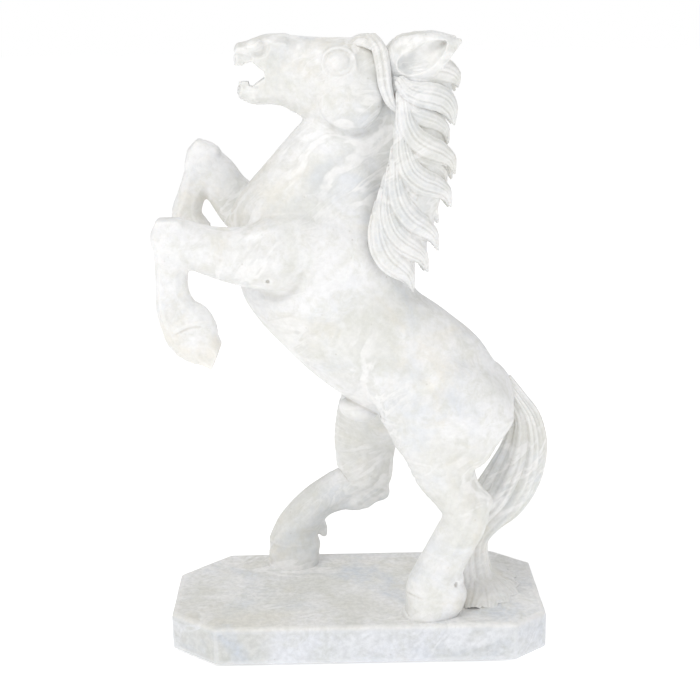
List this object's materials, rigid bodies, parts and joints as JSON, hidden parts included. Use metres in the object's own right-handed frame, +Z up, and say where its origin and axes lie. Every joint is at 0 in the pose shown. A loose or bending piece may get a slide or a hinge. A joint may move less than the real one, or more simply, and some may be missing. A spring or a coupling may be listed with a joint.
{
  "type": "rearing horse garden statue",
  "caption": "Rearing horse with open mouth and long pointed mane on a low clipped-corner plinth, carved in pinned stone sections, free-standing.",
  "frame": {"origin": "middle of the pad's underside, which is the face the statue stands on", "axes": "+X from the horse's nose towards its tail along the plinth's length, +Y from its left side to its right, +Z up"},
  "size_m": [0.4851, 0.23, 0.7678],
  "materials": {
    "marble": "polished, creamy white with soft beige and grey clouds",
    "plinth_marble": "polished, mottled white with fine grey veins",
    "dowel_steel": "plain stainless rod",
    "pad_rubber": "matt sheet"
  },
  "bodies": {
    "root": {"base_pad": "pad_rubber", "plinth": "plinth_marble", "trunk": "marble", "neck": "marble", "head": "marble", "mane": "marble", "near_foreleg": "marble", "far_foreleg": "marble", "near_hind_leg": "marble", "far_hind_leg": "marble", "tail": "marble", "neck_pin_front": "dowel_steel", "neck_pin_rear": "dowel_steel", "head_pin_front": "dowel_steel", "head_pin_rear": "dowel_steel", "near_foreleg_pin": "dowel_steel", "far_foreleg_pin": "dowel_steel", "near_hind_leg_pin": "dowel_steel", "far_hind_leg_pin": "dowel_steel", "near_hoof_pin": "dowel_steel", "far_hoof_pin": "dowel_steel", "tail_root_pin": "dowel_steel", "tail_foot_pin": "dowel_steel", "mane_pin_upper": "dowel_steel", "mane_pin_lower": "dowel_steel"}
  },
  "joints": []
}
